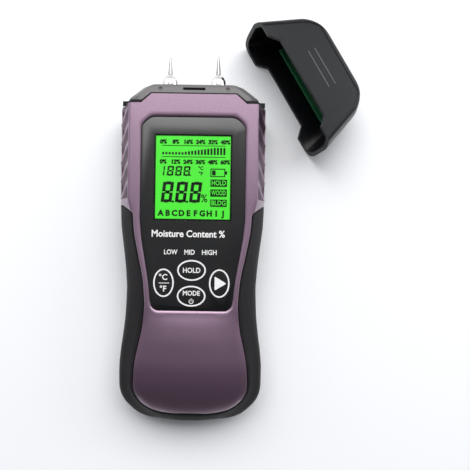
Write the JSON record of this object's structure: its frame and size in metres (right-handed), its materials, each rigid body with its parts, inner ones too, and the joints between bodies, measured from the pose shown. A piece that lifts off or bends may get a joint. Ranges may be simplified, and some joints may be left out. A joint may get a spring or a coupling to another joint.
{
  "type": "moisture meter",
  "caption": "Pin-type wood moisture meter lying on its back with its pin cap off beside it, display and keys facing up.",
  "frame": {"origin": "centre of the meter's flat back, on the surface it lies on", "axes": "+X to the meter's right, +Y along the meter towards its pins, +Z out of the display"},
  "size_m": [0.1056, 0.1795, 0.0282],
  "materials": {
    "purple_shell": "satin metallic purple moulded plastic",
    "black_plastic": "fine matt black moulded plastic",
    "grip_rubber": "soft-touch black overmould",
    "head_plastic": "satin dark grey metallic plastic",
    "gasket_rubber": "matt black rubber",
    "overlay_print": "glossy printed black film",
    "window_clear": "clear flat window",
    "lcd_green": "green backlit display glass",
    "light_guide": "frosted light guide",
    "zebra_rubber": "striped elastomer",
    "board_green": "green solder mask",
    "chip_black": "matt black moulded component",
    "plunger_white": "off-white moulded plastic",
    "steel": "bright nickel-plated steel",
    "brass": "turned brass",
    "wire_red": "red wire insulation",
    "wire_black": "black wire insulation",
    "battery_can": "printed battery sleeve",
    "cap_plastic": "satin black moulded plastic"
  },
  "bodies": {
    "meter": {"front_shell": "purple_shell", "back_shell": "black_plastic", "grip_cover": "grip_rubber", "probe_head": "head_plastic", "head_gasket": "gasket_rubber", "overlay_panel": "overlay_print", "lcd_window": "window_clear", "lcd_glass": "lcd_green", "lcd_frame": "black_plastic", "backlight": "light_guide", "zebra_strip": "zebra_rubber", "main_board": "board_green", "controller_chip": "chip_black", "battery": "battery_can", "battery_snap": "black_plastic", "battery_lead_red": "wire_red", "battery_lead_black": "wire_black", "switch_hold": "chip_black", "switch_unit": "chip_black", "switch_next": "chip_black", "switch_mode": "chip_black", "pin_left": "steel", "pin_socket_left": "brass", "pin_lead_left": "wire_red", "pin_right": "steel", "pin_socket_right": "brass", "pin_lead_right": "wire_red", "shell_screw_1": "steel", "shell_screw_2": "steel", "shell_screw_3": "steel", "shell_screw_4": "steel"},
    "key_hold": {"key_hold": "overlay_print", "plunger_hold": "plunger_white"},
    "key_unit": {"key_unit": "overlay_print", "plunger_unit": "plunger_white"},
    "key_next": {"key_next": "overlay_print", "plunger_next": "plunger_white"},
    "key_mode": {"key_mode": "overlay_print", "plunger_mode": "plunger_white"},
    "battery_door": {"battery_door": "black_plastic"},
    "pin_nut_left": {"pin_nut_left": "steel"},
    "pin_nut_right": {"pin_nut_right": "steel"},
    "cap": {"cap_shell": "cap_plastic", "cap_board": "board_green", "cap_resistor": "chip_black", "cap_contact_left": "steel", "cap_screw_left": "steel", "cap_contact_right": "steel", "cap_screw_right": "steel"}
  },
  "joints": [
    {"name": "cap_lift", "type": "slide", "parent": "meter", "child": "cap", "axis": [0, 0, 1], "range_m": [0, 0.06]},
    {"name": "key_hold_press", "type": "slide", "parent": "meter", "child": "key_hold", "axis": [0, 0, -1], "range_m": [0, 0.0004], "stiffness_N_per_m": 400},
    {"name": "key_unit_press", "type": "slide", "parent": "meter", "child": "key_unit", "axis": [0, 0, -1], "range_m": [0, 0.0004], "stiffness_N_per_m": 400},
    {"name": "key_next_press", "type": "slide", "parent": "meter", "child": "key_next", "axis": [0, 0, -1], "range_m": [0, 0.0004], "stiffness_N_per_m": 400},
    {"name": "key_mode_press", "type": "slide", "parent": "meter", "child": "key_mode", "axis": [0, 0, -1], "range_m": [0, 0.0004], "stiffness_N_per_m": 400},
    {"name": "battery_door_slide", "type": "slide", "parent": "meter", "child": "battery_door", "axis": [0, -1, 0], "range_m": [0, 0.058]},
    {"name": "pin_nut_left_turn", "type": "hinge", "parent": "meter", "child": "pin_nut_left", "pos_m": [-0.0107, 0.076, 0.014], "axis": [0, 1, 0], "continuous": true},
    {"name": "pin_nut_right_turn", "type": "hinge", "parent": "meter", "child": "pin_nut_right", "pos_m": [0.0107, 0.076, 0.014], "axis": [0, 1, 0], "continuous": true}
  ]
}
